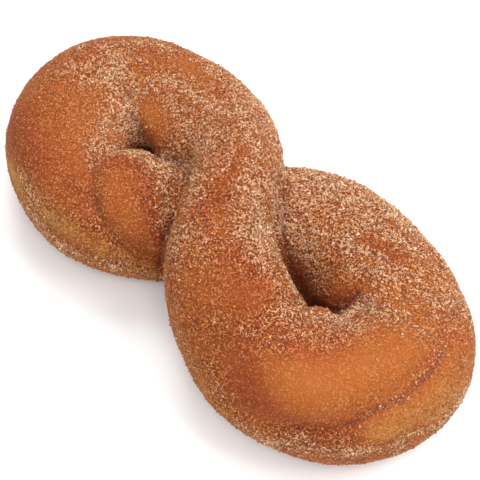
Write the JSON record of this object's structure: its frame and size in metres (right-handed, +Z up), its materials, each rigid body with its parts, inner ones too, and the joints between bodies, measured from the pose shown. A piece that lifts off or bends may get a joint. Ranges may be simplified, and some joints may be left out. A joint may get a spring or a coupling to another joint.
{
  "type": "twisted doughnut",
  "caption": "A rope of raised dough twisted into a flat figure-of-eight, fried and rolled in cinnamon sugar, with a small hole in each lobe.",
  "frame": {"origin": "on the surface that the doughnut lies on, under the middle of its outline", "axes": "+X along the doughnut, towards the lobe that is nearer in the picture, +Y across it towards the strand behind, +Z up"},
  "size_m": [0.1486, 0.0708, 0.042],
  "materials": {
    "sugared_dough": "fried golden-brown dough under cinnamon sugar, matt with small glints"
  },
  "bodies": {
    "root": {"twisted_doughnut": "sugared_dough"}
  },
  "joints": []
}
